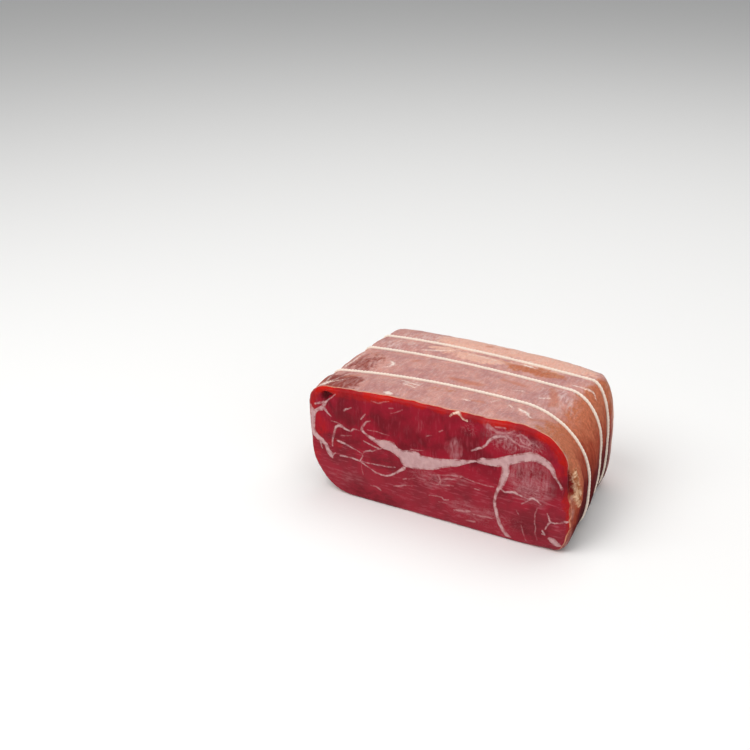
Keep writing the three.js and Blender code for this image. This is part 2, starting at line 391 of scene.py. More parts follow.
# The marbling of the cut: seams of firm white fat between the muscles, thinner veins of fat and sinew,
# faint streaks in the lean, and a curl of fat by the top edge. Each is a line of (x, z, width) in mm, laid
# along its middle and rounded off at its ends.
FAT_SEAMS = [
    [(-50, 49.5, 1.8), (-45.5, 48.5, 3.7), (-39.5, 47.5, 7), (-34.5, 47.5, 7.7), (-30, 44.5, 5.5),
     (-25.5, 43, 7), (-21, 41, 13.2), (-16, 41.5, 13.6), (-11.5, 41, 11), (-3.5, 42, 9.6), (2, 43.5, 7.7),
     (8.5, 45.5, 6), (16.5, 48, 5.2), (21, 49.5, 3.7), (26, 51.5, 1.9), (30.5, 53, 1.1)],
    [(32.5, 53.5, 3), (36.5, 54.5, 4.7), (42, 55, 5.3), (46.5, 56, 5.9), (51, 58, 6.9), (55.5, 60.5, 6.6),
     (60.5, 63, 5.8), (65.5, 65, 6.2), (70, 66.5, 6.6), (74, 67, 6.2), (78, 65.5, 5.3), (82, 64, 4.7),
     (85, 61.5, 3.9), (87, 57.5, 2.5), (88.5, 55, 1.7), (91, 51.5, 1.2), (92.5, 48.5, 1.9)],
    [(52, 55.5, 5.5), (52.5, 51.5, 5), (52, 47.5, 4.7), (50.5, 43, 4.4), (49.5, 39.5, 3.6),
     (47.5, 35.5, 2.2), (46, 30.5, 1.7), (45.5, 26.5, 1.9), (46, 22, 2), (47, 18.5, 2.2), (48.5, 14.5, 2),
     (49.5, 10.5, 2.3), (52, 7, 2.5), (54.5, 3.5, 2.7), (57.5, 0.5, 3.1)],
    [(-51, 63.5, 0.3), (-54, 62, 0.7), (-56, 59.5, 1.1), (-57.5, 57, 1.5), (-58, 54.5, 1.9),
     (-55, 52, 1.5), (-51, 50.5, 2.1), (-46.5, 49, 2.6)],
    [(-100.5, 64.5, 1.5), (-99.5, 61.5, 2.9), (-98.5, 57.5, 4), (-99, 51.5, 3.7), (-99, 46, 3.7),
     (-97, 42, 4), (-94, 39.5, 3.7), (-90.5, 38, 3.4), (-87.5, 35.5, 2.4), (-86, 31, 3.2),
     (-83.5, 28.5, 3.8), (-82.5, 26, 0.7)],
    [(-92, 37, 1.8), (-91.5, 33.5, 0.9), (-91, 31.5, 0.4)],
    [(-83.5, 28.5, 2.2), (-80, 30.5, 0.6)],
    [(-98.5, 58.5, 3.7), (-95, 61.5, 2.2), (-90.5, 64, 3.2), (-88.5, 68, 2.2), (-86, 71, 1),
     (-82.5, 74, 0.7), (-79.5, 77.5, 0.4)],
    [(-89, 64.5, 2.9), (-86, 61, 0.9), (-83, 59, 0.4)],
    [(-96.5, 66, 0.9), (-93, 67.5, 1.2), (-89, 69, 1.8)],
    [(86.5, 9, 2.4), (88.5, 8, 4.2), (90.5, 6.6, 4.4), (92.5, 5.6, 3), (94, 5, 1.2)],
    [(-82.5, 35.5, 0.4), (-82, 41, 1.2), (-81.5, 44.5, 1.6), (-80, 49, 1.2), (-79, 52, 1.5),
     (-77, 53.5, 1.6), (-74, 53, 1.5), (-71.5, 52, 1.5), (-69.5, 51.5, 1), (-67, 51, 0.7),
     (-65, 53.5, 0.9), (-62.5, 53.5, 0.5), (-59.5, 53.5, 0.4)],
    [(-83, 55.5, 0.3), (-77.5, 55.5, 0.4), (-73, 53.5, 0.4)],
    [(-78, 41, 1.2), (-75.5, 40.5, 1.6), (-72, 40, 1.3), (-68.5, 39, 0.7), (-65.5, 38, 0.4),
     (-58.5, 36, 0.4), (-57.5, 34, 0.5), (-58.5, 31.5, 0.5), (-59.5, 29, 0.9)],
    [(-57.5, 36, 0.4), (-55, 38.5, 0.6), (-51, 40, 0.9), (-49.5, 39.5, 0.6), (-46, 42, 0.4),
     (-42.5, 44, 0.6)],
    [(-56.5, 46, 0.6), (-52, 45, 0.9), (-48.5, 44, 0.7), (-44.5, 43.5, 1)],
    [(-76, 29.5, 1), (-71.5, 30, 0.9), (-66, 30, 0.9), (-62, 29.5, 0.9), (-58.5, 29, 1), (-55, 27, 0.7),
     (-50, 25, 0.7), (-47, 23.5, 0.9), (-43, 23, 0.9), (-38.5, 23, 1), (-34.5, 24.5, 1.2),
     (-30.5, 27.5, 1.2), (-27, 30.5, 1.6), (-24, 33, 2.5)],
    [(-58, 29.5, 0.5), (-52, 29.5, 0.4), (-45, 30, 0.6), (-38, 30.5, 0.6), (-31, 31.5, 0.4)],
    [(-72.5, 66, 0.9), (-71, 67.5, 1.2), (-69, 68.5, 0.6), (-66.5, 70, 0.3)],
    [(-59, 62.5, 0.4), (-57, 65, 0.7), (-55, 67.5, 0.3)],
    [(27, 60, 0.8), (31, 62.5, 1.4), (34.5, 64, 1.2), (37.5, 67, 1.1), (39, 69.5, 1.7), (40.5, 71.5, 1.7),
     (43, 74, 2), (46, 75.5, 1.7), (49, 76.5, 1.2), (52, 76, 0.8)],
    [(50, 36.5, 0.5), (53, 35, 0.9), (57, 36.5, 1.6), (59.5, 37, 1.7), (62.5, 36, 1.1), (66, 35.5, 0.9),
     (69, 34.5, 0.5), (72.5, 36, 1), (76, 35.5, 0.9), (79, 33, 0.4)],
    [(65, 29.5, 0.4), (68.5, 32.5, 0.5), (72, 35.5, 0.5)],
    [(86, 22, 0.9), (89, 21.5, 0.7), (92.5, 22.5, 0.6), (95.5, 24, 1.2), (97.5, 23.5, 1.7)],
    [(83.5, 27.5, 0.3), (84.5, 25, 0.5), (86, 21.5, 0.8), (84, 18, 0.7), (83, 15, 0.4)],
    [(81, 13.5, 0.9), (82.5, 11, 1.2), (81, 11, 0.5)],
    [(-32, -0.6, 0.3), (-16, -0.9, 1.3), (-4, -0.7, 0.6), (10, -0.9, 1.4), (30, -0.8, 0.4)],
]
FAINT_STREAKS = [
    [(-6, 33, 0.6), (2.5, 34.5, 0.9), (6, 35.5, 0.7), (11.5, 37, 0.8), (16, 37.5, 1.1), (20.5, 38.5, 0.6)],
    [(3.6, 33.6, 1.3), (4.8, 31, 0.9), (4, 28.4, 1.4)],
    [(1.5, 27, 0.5), (6.5, 28, 1), (12, 29, 0.9), (14.5, 29.5, 0.4)],
    [(5, 32, 0.9), (9.5, 33.5, 1), (14.5, 34.5, 0.8), (20, 37.5, 0.4)],
    [(-32, 16.5, 0.5), (-28.5, 17.5, 1.1), (-23, 19.5, 0.6), (-17.5, 20.5, 0.5)],
    [(-24.5, 24, 0.7), (-22, 25, 0.7)],
    [(-20.5, 25.5, 0.4), (-15.5, 27.5, 0.4)],
    [(-4, 17, 0.4), (2.5, 18, 0.6), (6, 18, 0.7), (7.5, 16.5, 1), (11, 17.5, 0.4)],
    [(3.5, 14, 0.4), (9.5, 14, 0.4)],
    [(-50.5, 79, 0.3), (-44.5, 78.5, 0.9), (-40.5, 80.5, 0.6), (-36.5, 81.5, 0.3)],
    [(-26, 78, 0.4), (-30.5, 75, 0.4), (-35, 73, 0.3)],
    [(-36.5, 76.5, 0.5), (-33, 77.5, 0.5)],
    [(2.5, 68.5, 0.7), (5, 70, 0.4)],
    [(-7, 62.5, 0.4), (-3, 64, 0.3)],
    [(-53.5, 55.5, 0.3), (-45.5, 56, 0.4), (-36, 55.5, 0.3)],
    [(-19, 49, 0.5), (-14.5, 49.5, 0.6), (-9.5, 50.5, 0.4)],
    [(-58.5, 28.5, 0.3), (-58.5, 25, 0.4), (-57, 19, 0.3)],
    [(-75, 46, 0.4), (-71, 46.5, 0.4), (-66.5, 48, 0.4)],
    [(-51, 12, 0.5), (-46.5, 12, 0.7), (-44, 11, 1.6), (-42.5, 10, 0.6)],
    [(21.5, 38, 0.4), (31.5, 36.5, 0.5), (39.5, 36.5, 0.8), (44.5, 37, 0.6)],
    [(30.5, 31.5, 0.6), (34, 31.5, 0.5)],
    [(15.5, 10.5, 1.1), (21.5, 11.5, 1.4), (27.5, 13, 1.2)],
    [(30, 11.5, 0.6), (39.5, 12, 0.9), (44, 12, 0.5)],
    [(25, 5, 0.9), (32, 6, 0.9)],
    [(76.5, 29, 0.4), (75, 24.5, 0.6), (75, 19, 0.6), (76, 14.5, 0.5), (75.5, 10, 0.5), (77.5, 5, 0.3)],
    [(65.5, 13.5, 0.3), (67, 8, 0.5), (70.5, 1, 0.4)],
    [(62, 23.5, 0.3), (63.5, 20.5, 0.3)],
    [(38.5, 82.5, 1.6), (41.5, 80, 2.4), (44.5, 78.5, 1.6), (49, 79, 1.2), (54, 80.3, 1.4), (58, 83, 0.8)],
    [(44, 82, 0.8), (47.5, 83, 1.4), (51.5, 83.3, 0.8)],
    [(49, 77, 0.6), (54.5, 76.5, 1.3), (58, 74.4, 1.6), (62, 72.7, 1.2), (66, 72.5, 0.8),
     (69.5, 72.3, 0.5)],
    [(59, 79, 0.7), (62.4, 81.3, 1.3), (66.7, 79.8, 1.3), (69.5, 76.7, 1.4), (67.5, 74.3, 1),
     (63.5, 75.2, 0.8), (61.5, 77.8, 0.7)],
    [(69.5, 77, 0.8), (73, 76.5, 1.2), (76, 73.5, 1), (77, 71.5, 0.5)],
    [(52, 79, 0.5), (53.5, 77, 1), (51.5, 74.5, 0.8), (47, 72.5, 0.5)],
]
CURL = [
    (10.5, 82, 0.8), (12.5, 84, 1.2), (15.5, 85, 1.2), (18.5, 84, 0.8), (20.5, 82, 1.1), (23.5, 81.5, 1.1),
]


# Lines and patches wander a little, by Blender's noise vectors, which the clock seeds unless a script does
WANDER_SEED = 4
LINE_WANDER = 0.36
FINE_LINE_WANDER = 0.12
PATCH_WANDER = 3
FINE_PATCH_WANDER = 0.9
RUST_WANDER = 0.8
noise.seed_set(WANDER_SEED)


def stroke(line, places):
    """How far inside a line each place lies, in mm: half its width on its middle, and negative outside."""
    line = np.array(line, float)
    inside = np.full(len(places), -9.0)
    for start, end in zip(line[:-1], line[1:]):
        along = end[:2] - start[:2]
        share = np.clip((places - start[:2]) @ along / (along @ along), 0, 1)
        distance = np.linalg.norm(places - start[:2] - share[:, None] * along, axis=1)
        inside = np.maximum(inside, mix(start[2], end[2], share) / 2 - distance)
    return inside


def drawn(lines, places, where):
    """How far inside the nearest line each point lies, in mm, and far outside wherever where is false."""
    field = np.full(len(points), -9.0)
    field[where] = np.max([stroke(line, places[where]) for line in lines], axis=0)
    return field


def rough(size, octaves, offset):
    """Smooth noise about -1 to 1 at each point, that changes over size mm."""
    return np.array([noise.fractal(Vector(place), 1.0, 2.0, octaves) for place in points / size + offset])


def sway(size, offset):
    """A smooth random shift of each point, up to about 1 long, that changes over size mm."""
    return np.array([noise.noise_vector(Vector(place)) for place in points / size + offset])


def zone(patches, places):
    """The weight of the strongest of the round patches (middle, reach, weight) at each place."""
    field = np.zeros(len(places))
    for middle, reach, weight in patches:
        apart = np.linalg.norm((places - middle) / reach, axis=1)
        field = np.maximum(field, weight * (1 - smoothstep(apart, 0.35, 1)))
    return field


line_place = points + LINE_WANDER * sway(5, 1) + FINE_LINE_WANDER * sway(1.5, 2)
zone_place = points + PATCH_WANDER * sway(12, 3) + FINE_PATCH_WANDER * sway(3, 4)
fat = drawn(FAT_SEAMS, line_place[:, [0, 2]], near_cut)
streak = drawn(FAINT_STREAKS, line_place[:, [0, 2]], near_cut)
curl = drawn([CURL], line_place[:, [0, 2]], near_cut)

# Zones of the cut as round patches, each with its middle (x, z), its reach and its weight: darker muscles,
# with painted shade along the bottom at the left and under the raised edge by the fold, the pale haze that
# a blade leaves, wet red lean, lean that is mottled with curly fat, and a dark wet hollow in the upper left
# corner, its darkness painted shade.
# Darker muscles, and painted shade: the patch at (-50, 4) along the bottom and the one at (87.5, 51) under
# the raised edge beside the fold
DARK_MUSCLE_AND_SHADE = [
    ((-71, 61.5), (15, 9), 0.8), ((-38.4, 33), (20, 10), 1), ((-50, 4), (34, 8), 1),
    ((72, 13), (22, 14), 0.95), ((-60, 48), (20, 12), 0.5), ((35.8, 73), (8, 7), 0.7),
    ((87.5, 51), (5, 14), 1), ((-24, 62), (10, 8), 0.4),
]
HAZE = [
    ((-70, 13), (22, 8), 0.2), ((15, 57), (8, 13), 0.55), ((-13.6, 69), (6, 14), 0.15),
    ((56, 75.5), (28, 10), 0.5), ((70, 48), (25, 22), 0.6), ((-2, 30), (19, 10), 0.35),
    ((16, 35), (14, 7), 0.35), ((27.6, 14), (28, 9), 0.3), ((40, 82.5), (6, 6), 1),
]
RED = [
    ((-92.6, 50), (8, 14), 0.9), ((-80, 37.6), (8, 6), 0.5), ((-97, 24), (6, 13), 0.7),
    ((95, 38), (3, 7), 0.8), ((92, 63), (6, 10), 0.7),
]
MOTTLE = [
    ((58, 74), (28, 11), 1), ((70, 48), (22, 18), 0.7), ((24, 76), (9, 7), 0.5),
    ((40, 12), (42, 11), 0.35), ((-5, 30), (20, 9), 0.4),
]
# The hollow is real relief, and is also painted dark as the shade inside it
PIT = [((-89, 73.5), (5, 4), 0.9), ((-85, 75.5), (5, 3), 0.8)]
cut_patches = {"dark": DARK_MUSCLE_AND_SHADE, "haze": HAZE, "red": RED, "mottle": MOTTLE, "pit": PIT}
layers = {name: zone(patches, zone_place[:, [0, 2]]) * near_cut for name, patches in cut_patches.items()}
layers |= {"fat": fat, "streak": streak, "curl": curl, "past_edge": past_edge}

# The knife drags wet red lean out along the film: a band that is deepest at the top left, and thin where it
# goes down the right side
BAND_LEFT = 7.5
BAND_LEFT_X = (-50, -30)
BAND_MIDDLE = 5
BAND_RIGHT = 6.5
BAND_RIGHT_X = (30, 50)
BAND_TOP_Z = (48, 66)
BAND_DOWN_RIGHT = 3.5
DOWN_RIGHT_X = (84, 92)
DOWN_RIGHT_Z = (8, 24)
band_depth = mix(BAND_LEFT, BAND_MIDDLE, smoothstep(x, *BAND_LEFT_X))
band_depth = band_depth + (BAND_RIGHT - BAND_MIDDLE) * smoothstep(x, *BAND_RIGHT_X)
band_depth = band_depth * smoothstep(z, *BAND_TOP_Z)
down_right = BAND_DOWN_RIGHT * smoothstep(x, *DOWN_RIGHT_X) * smoothstep(z, *DOWN_RIGHT_Z)
band_depth = np.maximum(band_depth, down_right)
layers["band"] = np.where(near_cut, band_depth + past_edge, -9)

# Marks on the skin: pale scars and knobs of fat, a pale crescent painted as the highlight on a bubble in
# the film, rust where the film is thin, creases in the left corner painted dark as shade, and the lump of
# fat beside its crevice, which is painted dark as the shade in it. Those on top are lines of (x, y, width)
# in mm.
# The lump and the crevice are on the right side, as lines of (y / 2, z, width), so they are twice as wide
# in y.
MARKS_ABOVE_Z = 55
RIGHT_MARKS_X = 60
RIGHT_MARKS_Z = (20, 70)
RIGHT_MARKS_Y = 40
PALE_MARKS_AND_HIGHLIGHT = [
    # A bubble in the film, raised in relief, painted pale as its highlight
    [(-66, 46.5, 0.8), (-62.6, 49.5, 1.6), (-61.8, 52.6, 2.4), (-63.3, 55.4, 2.2), (-66.5, 58.2, 0.7)],
    [(-43, 6.6, 1.6), (-40.5, 6.2, 4.4), (-38, 6.6, 2)],
    [(-94.5, 5.5, 2), (-92.5, 6.5, 3.4), (-90.5, 8, 1.6)],
    [(-55, 85.5, 0.8), (-41.7, 88.8, 1.6), (-31.2, 92.8, 0.7)],
    [(-20, 92, 0.8), (-10.4, 92, 1.2), (4, 90, 0.7)],
    [(25, 92.5, 2), (29.5, 91.5, 3.2), (33, 91, 1.5)],
    [(24.5, 100.8, 1.4), (27, 101, 0.8)],
    [(41.7, 26.3, 0.7), (45.9, 23.3, 1.2)],
    [(50, 24, 1), (52.9, 22.2, 2.2), (57, 21.3, 2.4), (59, 18.5, 1.4), (62.1, 15.9, 0.6)],
    [(10.1, 18.9, 0.6), (16.3, 18.4, 1.1)],
    [(30, 24.4, 1.3), (32.1, 27.9, 0.6)],
    [(67.8, 77.6, 1), (76.5, 78.1, 1.2), (81.7, 81, 1.2), (84.8, 79.4, 0.8)],
    [(-42, 30, 1), (-34, 27, 1.6), (-26, 25.5, 0.8)],
    [(-38, 23.5, 0.7), (-31, 22.5, 1.2), (-27, 21, 0.6)],
    [(36, 49, 0.7), (42, 51, 1)],
    [(55, 47, 1.1), (61, 51, 0.7)],
    [(-91, 9, 1.6), (-86, 13, 1.1), (-80, 18, 0.9)],
    [(-91.5, 9, 1.4), (-88.5, 18, 0.8), (-86, 29, 0.6)],
    [(-93, 10, 1.2), (-95, 20, 0.7)],
    [(-96, 42, 1), (-94.5, 54, 1.2), (-93.5, 66, 0.8)],
]
RUST_MARKS = [
    [(6, 92.5, 1.5), (14, 89.5, 4), (27, 85.5, 6), (41, 82.2, 6), (50, 80.5, 2.5)],
    [(-13.5, 113, 3), (-11, 113.8, 4)],
    [(-1, 115.4, 2.5), (1, 115.8, 3)],
    [(-49.5, 63.7, 3), (-45, 66, 2)],
    [(-12, 47, 3), (0, 45.5, 6), (12, 46, 4)],
    [(22, 61, 2), (30, 60, 4), (40, 59, 2)],
    [(17, 19.5, 1.8), (21, 20.5, 3), (26, 20.5, 1.6)],
    [(57.5, 66, 4), (62, 57, 6), (66, 48, 5.5), (64, 44, 3)],
    [(70, 25, 4), (67.4, 18.7, 4), (63.5, 13, 3)],
    [(50.5, 8, 1.6), (51.5, 8, 1.6)],
    [(-84, 22, 2), (-80, 26, 3.5), (-76, 27.5, 2)],
]
# The creases are sunk in relief and also painted dark, as the shade in them
DARK_CREASES = [
    [(-93, 12, 2.4), (-90, 20, 3.2), (-88, 32, 2.4)],
    [(-97, 16, 3), (-98, 30, 4)],
    [(-93, 42, 2), (-91, 55, 2.4), (-90, 66, 1.6)],
    [(-86, 40, 1.2), (-84, 50, 1.6)],
]
LUMP_LINE = [
    [(4.3, 60.7, 1.4), (3.6, 58, 2.4), (3.4, 53.8, 2.8), (3.2, 49, 3.4), (3.6, 44.3, 4.8),
     (4.8, 37.9, 2.6), (5.9, 32.3, 1)],
]
# The crevice is sunk in relief and also painted dark, as the shade in it
CREVICE_LINE = [
    [(1.2, 62, 1.2), (1.4, 57, 2.2), (1.6, 52, 2.8), (1.8, 47, 2.2), (2, 43.5, 1)],
]
on_top = on_skin & (z > MARKS_ABOVE_Z)
on_right = (x > RIGHT_MARKS_X) & (z > RIGHT_MARKS_Z[0]) & (z < RIGHT_MARKS_Z[1]) & (y < RIGHT_MARKS_Y)
beside = np.stack([line_place[:, 1] / 2, line_place[:, 2]], axis=-1)
layers["pale"] = drawn(PALE_MARKS_AND_HIGHLIGHT, line_place[:, :2], on_top)
layers["rusty"] = drawn(RUST_MARKS, line_place[:, :2] + RUST_WANDER * sway(3, 6)[:, :2], on_top)
layers["crease"] = drawn(DARK_CREASES, line_place[:, :2], on_top)
layers["lump"] = drawn(LUMP_LINE, beside, on_right)
layers["crevice"] = drawn(CREVICE_LINE, beside, on_right)

# Zones of the skin as round patches, each with its middle (x, y, z), its reach and its weight: peach where
# fat lies under the film, rust and ruddy where dried lean does, and a pale veil of loose film that is
# partly painted sheen and reflection, strongest in the patch at the top right.
PEACH = [
    ((0, 118, 86), (78, 26, 30), 1), ((45, 104, 84), (50, 18, 20), 0.9), ((-30, 112, 86), (38, 20, 20), 1),
    ((-42, 93, 84), (18, 8, 12), 0.8), ((-8, 89, 86), (40, 11, 12), 0.85),
    ((30, 135, 50), (76, 24, 44), 0.9), ((-60, 132, 40), (40, 20, 34), 0.8),
    ((93, 120, 50), (22, 24, 60), 1),
]
RUST = [
    ((-84, 56, 78), (20, 24, 16), 0.45), ((-10, 27, 86), (18, 10, 12), 0.35),
    ((83, 99, 72), (18, 16, 18), 1), ((84, 66, 76), (18, 40, 18), 0.8), ((82, 26, 76), (16, 26, 18), 0.9),
    ((98, 7, 35), (18, 15, 60), 1), ((82, 5, 78), (22, 13, 22), 0.85), ((36, 86, 86), (32, 10, 12), 0.95),
    ((-20, 136, 20), (60, 20, 20), 0.6),
]
RUDDY = [
    ((93, 6, 5), (18, 11, 18), 1), ((98, 6, 22), (14, 10, 16), 0.8), ((98, 4, 44), (12, 6, 22), 0.6),
    ((-84, 13, 81), (26, 18, 16), 1), ((-82, 50, 80), (18, 26, 14), 0.55),
]
# Pale scuffs of loose film, and painted sheen and reflection on the film
VEIL_AND_SHEEN = [
    ((73, 53, 82), (11, 10, 10), 1), ((-34, 27, 85), (13, 7, 10), 0.8), ((58, 49, 85), (7, 6, 9), 0.6),
    ((85, 47, 73), (6, 12, 10), 0.7), ((30, 92, 86), (9, 4, 9), 0.7), ((-60, 52, 84), (8, 9, 9), 0.5),
    ((-74, 90, 82), (24, 12, 12), 0.8), ((-68, 112, 84), (22, 11, 12), 0.8),
    ((60, 60, 86), (15, 10, 10), 0.8),
]
skin_patches = {"peach": PEACH, "ruddy": RUDDY, "rust": RUST, "veil_and_sheen": VEIL_AND_SHEEN}
layers |= {name: zone(patches, zone_place) for name, patches in skin_patches.items()}

# The dark sides, which end short of the rims: maroon meat, with painted shade towards the base. Near the
# cut they are as pale as 30 mm further up.
FLANK_SLOPE = (0.3, 0.75)
FLANK_START_Y = (3, 9)
FLANK_END_Y = (97, 108)
LEFT_FLANK = 0.8
PALER_BY = 30
PALER_Y = (6, 20)
flank = smoothstep(np.abs(normals[:, 0]), *FLANK_SLOPE) * smoothstep(y, *FLANK_START_Y)
flank = flank * (1 - smoothstep(y, *FLANK_END_Y))
layers["flank"] = flank * on_skin * np.where(x > 0, 1, LEFT_FLANK)
layers["side_height"] = z + PALER_BY * (1 - smoothstep(y, *PALER_Y)) + 5 * rough(9, 2, 13)

# The crust: a strip of dried skin along the film's edge where it is rolled over
CRUST_WIDTH = 2.4
CRUST_X = (62, 90)
CRUST_START_Z = (4, 22)
CRUST_END_Z = (46, 56)
crusty_there = smoothstep(x, *CRUST_X) * smoothstep(z, *CRUST_START_Z) * (1 - smoothstep(z, *CRUST_END_Z))
layers["crust"] = np.where(on_skin, CRUST_WIDTH * crusty_there - past_edge, -9)

# Real relief along the surface's own normals, in mm: fat stands up from the cut, the film's edge is a small
# ridge, the hollow is deep, and the cut and the skin are uneven. UNEVEN holds the size of the waves, their
# offset, and their height on the cut and on the skin.
FAT_HEIGHT = 0.25
STREAK_HEIGHT = 0.1
CURL_HEIGHT = 1.1
PIT_DEPTH = 3.4
BULGE_HEIGHT = 0.9
WET_ROUGHNESS = 0.5
FILM_EDGE_HEIGHT = 0.3
SCAR_HEIGHT = 0.3
CREASE_DEPTH = 0.5
LUMP_HEIGHT = 0.8
CREVICE_DEPTH = 0.7
RAGGED_BASE = 0.35
UNEVEN = ((14, 5.0, 0.12, 0.4), (3.2, 9.0, 0.07, 0.16))
BULGE = [((26, 76), (7, 6), 1)]
WET = [((95, 38), (3, 6), 1)]
inner = smoothstep(-past_edge, 3, 6)
flat_place = points[:, [0, 2]]
marbled = FAT_HEIGHT * smoothstep(fat, -0.4, 0.5) + STREAK_HEIGHT * smoothstep(streak, -0.4, 0.3)
relief = np.where(on_cut, marbled, 0) * inner
relief += near_cut * CURL_HEIGHT * smoothstep(curl, -0.6, 0.6)
relief -= near_cut * PIT_DEPTH * layers["pit"] * smoothstep(-past_edge, 1, 4)
wet_relief = WET_ROUGHNESS * zone(WET, flat_place) * rough(2.5, 2, 7)
relief += near_cut * (BULGE_HEIGHT * zone(BULGE, flat_place) + wet_relief)
relief += FILM_EDGE_HEIGHT * swell(past_edge - 0.6, 0.6)
scars = SCAR_HEIGHT * smoothstep(layers["pale"], -0.5, 0.6)
relief += on_skin * (scars - CREASE_DEPTH * smoothstep(layers["crease"], -0.6, 1))
relief += LUMP_HEIGHT * smoothstep(layers["lump"], -0.4, 1.4)
relief -= CREVICE_DEPTH * smoothstep(layers["crevice"], -0.3, 1)
above_base = smoothstep(z, BASE_Z, 5)
for size, offset, on_the_cut, on_the_skin in UNEVEN:
    relief += np.where(on_cut, on_the_cut, on_the_skin) * rough(size, 3, offset) * above_base
points = points + normals * relief[:, None]
ragged_base = RAGGED_BASE * (1 + rough(2, 2, 11)) * near_cut * swell(past_edge, 1.5)
points[:, 2] = np.maximum(points[:, 2], BASE_Z + ragged_base)

ham_mesh.vertices.foreach_set("co", ((points + BLOCK_TO_ROW) * MM).astype(np.float32).ravel())
for name, values in layers.items():
    attribute = ham_mesh.attributes.new(name, "FLOAT", "POINT")
    attribute.data.foreach_set("value", values.astype(np.float32))
slots = np.ones(len(faces), np.int32)
slots[: around * FILM_ROW] = 0
slots[len(band) : len(band) + len(cut_triangles)] = 0
ham_mesh.polygons.foreach_set("material_index", slots)
ham_mesh.polygons.foreach_set("use_smooth", np.ones(len(faces), bool))
ham_mesh.update()
ham = bpy.data.objects.new("cured_ham", ham_mesh)
scene.collection.objects.link(ham)
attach(ham, "root")
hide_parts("ham")


def linear(colour):
    """An sRGB hex colour as the linear red, green, blue and alpha that Blender's sockets take."""
    parts = [int(colour[i : i + 2], 16) / 255 for i in (1, 3, 5)]
    return [part / 12.92 if part <= 0.04045 else ((part + 0.055) / 1.055) ** 2.4 for part in parts] + [1]


def add(tree, kind, sockets=None, **settings):
    """Adds a node. sockets maps an input's name or number to its value, or to the output that feeds it.

    By number, a Mix node has its share at 0, numbers at 2 and 3 and colours at 6 and 7. A MapRange node has
    its value at 0, which goes from the range of 1 and 2 to that of 3 and 4.
    """
    made = tree.nodes.new("ShaderNode" + kind)
    for name, value in settings.items():
        setattr(made, name, value)
    for name, value in (sockets or {}).items():
        if isinstance(value, bpy.types.NodeSocket):
            tree.links.new(value, made.inputs[name])
        else:
            made.inputs[name].default_value = value
    return made


def new_material(name):
    made = bpy.data.materials.new(name)
    made.use_nodes = True
    made.node_tree.nodes.clear()
    return made, made.node_tree


# The cut: raw cured lean is crimson, darker and redder where it is wet, greyer under the film that the
# blade leaves, with firm fat that is pinkish white. A slicer leaves it smooth, so it has a low satin shine.
# Sizes of its patterns are in mm: bundles of muscle fibre are about 1.5 mm thick.
FIBRE = 1.5
LEAN_CLOUD = 16
LEAN_PATCH = 4
LEAN_GRAIN = 1.1
CURLY_FAT = 6
SATIN_CUT = (0.36, 0.52)
WET_CUT = 0.22
cut_meat, tree = new_material("cut_cured_lean_and_fat")
place = add(tree, "TexCoord").outputs["Object"]
in_mm = add(tree, "VectorMath", {0: place, "Scale": 1 / MM}, operation="SCALE").outputs[0]
layer = {name: add(tree, "Attribute", attribute_name=name).outputs["Fac"] for name in layers}

# Muscle fibres run upright in the upper muscle and level in the lower ones
upright = {0: in_mm, "Scale": (1, 1, 0.18), "Rotation": (0, math.radians(12), 0)}
level = {0: in_mm, "Scale": (0.2, 1, 1), "Rotation": (0, math.radians(-8), 0)}
ways = [add(tree, "Mapping", way).outputs[0] for way in (upright, level)]
fibres = [add(tree, "TexNoise", {"Vector": way, "Scale": 1 / FIBRE, "Detail": 3, "Roughness": 0.6})
          for way in ways]
height = add(tree, "SeparateXYZ", {0: in_mm}).outputs[2]
is_upper = add(tree, "MapRange", {0: height, 1: 38, 2: 54}, interpolation_type="SMOOTHSTEP").outputs[0]
fibre = add(tree, "Mix", {0: is_upper, 2: fibres[1].outputs[0], 3: fibres[0].outputs[0]}).outputs[0]
cloud = add(tree, "TexNoise", {"Vector": in_mm, "Scale": 1 / LEAN_CLOUD, "Detail": 3, "Distortion": 0.6})
cloud = cloud.outputs[0]
patch = add(tree, "TexNoise", {"Vector": in_mm, "Scale": 1 / LEAN_PATCH, "Detail": 3, "Distortion": 0.5})
patch = patch.outputs[0]
grain = add(tree, "TexNoise", {"Vector": in_mm, "Scale": 1 / LEAN_GRAIN, "Detail": 3, "Roughness": 0.6})
grain = grain.outputs[0]

# The lean's tone, from its own cloudiness and fibres, and greyer lower down: partly the lower muscle's own
# tone and partly a painted reflection haze.
dark = add(tree, "MapRange", {0: cloud, 1: 0.42, 2: 0.66}).outputs[0]
# Greyer towards the bottom: partly the lower muscle's tone, partly painted reflection haze
is_lower = add(tree, "MapRange", {0: height, 1: 52, 2: 18, 3: 0, 4: 0.4}).outputs[0]
lighter = add(tree, "MapRange", {0: fibre, 1: 0.53, 2: 0.72}).outputs[0]
fibre_show = add(tree, "MapRange", {0: height, 1: 35, 2: 58, 3: 0.6, 4: 0.26}).outputs[0]
lighter = add(tree, "Math", {0: lighter, 1: fibre_show}, operation="MULTIPLY").outputs[0]
colour = linear("#971429")
for share, tone in ((dark, "#72101e"), (is_lower, "#9a3a44"), (lighter, "#b0525d")):
    colour = add(tree, "Mix", {0: share, 6: colour, 7: linear(tone)}, data_type="RGBA").outputs[2]

# The zones laid over it, each broken up by the fibres
broken = add(tree, "MapRange", {0: fibre, 1: 0.36, 2: 0.62, 3: 0.35, 4: 1.5}).outputs[0]
broken = add(tree, "Math", {0: broken, 1: patch}, operation="MULTIPLY").outputs[0]
# dark is darker muscle, and painted shade in two of its patches
for name, tone in (("dark", "#6d1620"), ("red", "#b0141a"), ("haze", "#b88084")):
    there = add(tree, "Math", {0: broken, 1: layer[name]}, operation="MULTIPLY").outputs[0]
    mask = add(tree, "MapRange", {0: there, 1: 0.04, 2: 0.7, 4: 0.8}).outputs[0]
    colour = add(tree, "Mix", {0: mask, 6: colour, 7: linear(tone)}, data_type="RGBA").outputs[2]
